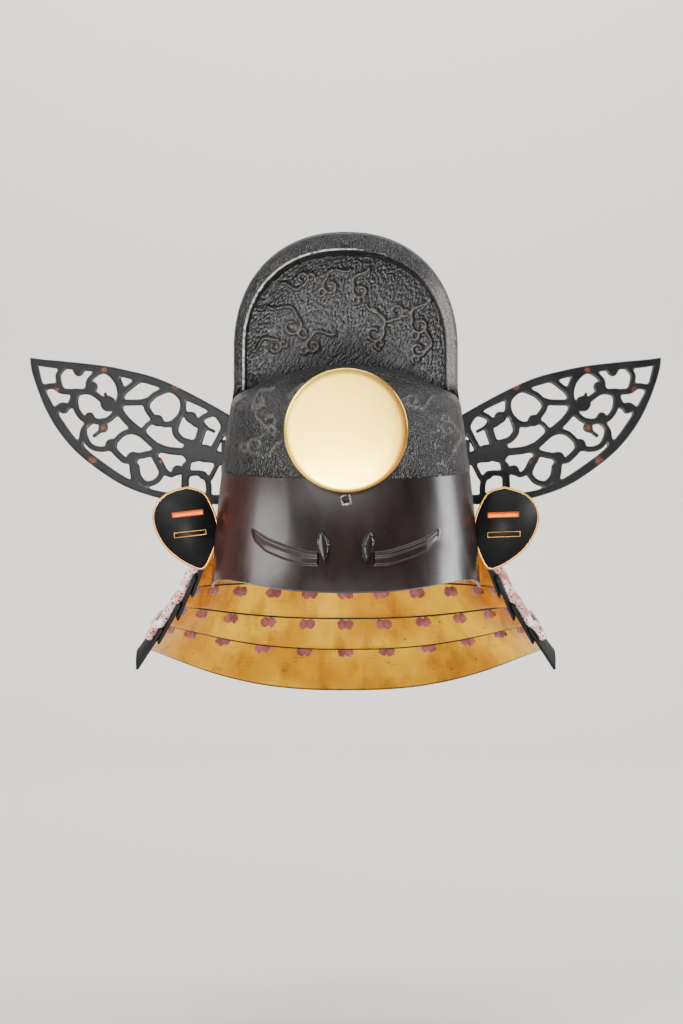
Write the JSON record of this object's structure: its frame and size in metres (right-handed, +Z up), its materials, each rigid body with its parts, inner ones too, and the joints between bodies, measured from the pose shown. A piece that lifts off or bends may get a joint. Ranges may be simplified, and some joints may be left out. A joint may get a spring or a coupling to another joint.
{
  "type": "kabuto samurai helmet",
  "caption": "Court-cap shaped helmet with leather-covered bowl and hood, lacquered peak, gilt crest disc, pierced side wings, turn-backs and a laced plate neck guard.",
  "frame": {"origin": "middle of the head opening, on the plane of the bowl's rim", "axes": "+Z up, the face looks along -Y, +X to the viewer's right when facing the helmet"},
  "size_m": [0.572, 0.3393, 0.41],
  "materials": {
    "leather": "black lacquered embossed leather",
    "brown_lacquer": "dark brown-black polished lacquer",
    "black_lacquer": "black lacquer on leather and wood",
    "gold_lacquer": "gold lacquer inside, black lacquer outside",
    "gilt": "pale gilt copper",
    "iron": "plain dark iron",
    "silk": "braided silk lacing, pale pink"
  },
  "bodies": {
    "root": {"bowl": "leather", "hood": "leather", "hood_rim": "leather", "hood_panel": "leather", "peak": "brown_lacquer", "crest_disc": "gilt", "disc_post": "iron", "wing_left": "black_lacquer", "wing_right": "black_lacquer", "wing_bracket_left": "iron", "wing_bracket_right": "iron", "turnback_left": "black_lacquer", "turnback_right": "black_lacquer", "turnback_rim_left": "gilt", "turnback_rim_right": "gilt", "lame_1": "gold_lacquer", "lame_2": "gold_lacquer", "lame_3": "gold_lacquer", "lame_4": "gold_lacquer", "lacing_1": "silk", "lacing_2": "silk", "lacing_3": "silk", "lacing_4": "silk", "lacing_5": "silk", "lacing_6": "silk", "lacing_7": "silk", "lacing_8": "silk", "lacing_9": "silk", "lacing_10": "silk", "lacing_11": "silk", "lacing_12": "silk", "lacing_13": "silk", "lacing_14": "silk", "lacing_15": "silk", "edge_braid_left": "silk", "edge_braid_right": "silk"}
  },
  "joints": []
}
